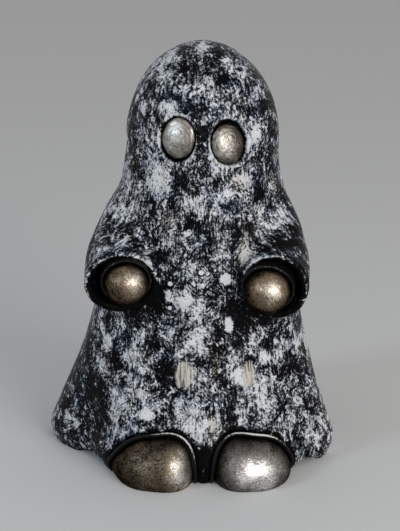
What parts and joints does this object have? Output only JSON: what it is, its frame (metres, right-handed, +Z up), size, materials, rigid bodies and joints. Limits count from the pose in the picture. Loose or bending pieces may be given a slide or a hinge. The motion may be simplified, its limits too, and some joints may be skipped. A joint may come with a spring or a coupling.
{
  "type": "ghost figurine",
  "caption": "Hand-built clay sheet ghost, standing: hollow flared robe with bell sleeves, oval eyes, ball hands and feet under arched hems.",
  "frame": {"origin": "on the table, under the middle of the whole figure's footprint", "axes": "+Z up, the ghost faces -Y, +X towards its own left side"},
  "size_m": [0.0842, 0.07, 0.12],
  "materials": {
    "painted_clay": "black satin clay, dabbed and dry-brushed with white",
    "black_clay": "black, satin to glossy",
    "silver_paint": "brushed-on silver metallic paint over clay",
    "bronze_paint": "brushed-on pale bronze metallic paint over clay",
    "pewter_paint": "brushed-on pewter to pale gold metallic paint over clay"
  },
  "bodies": {
    "root": {"robe": "painted_clay", "right_sleeve": "painted_clay", "left_sleeve": "painted_clay", "right_arm": "black_clay", "left_arm": "black_clay", "right_hem_roll": "black_clay", "left_hem_roll": "black_clay", "right_eye": "silver_paint", "left_eye": "silver_paint", "right_hand": "bronze_paint", "left_hand": "bronze_paint", "right_foot": "pewter_paint", "left_foot": "pewter_paint"}
  },
  "joints": []
}
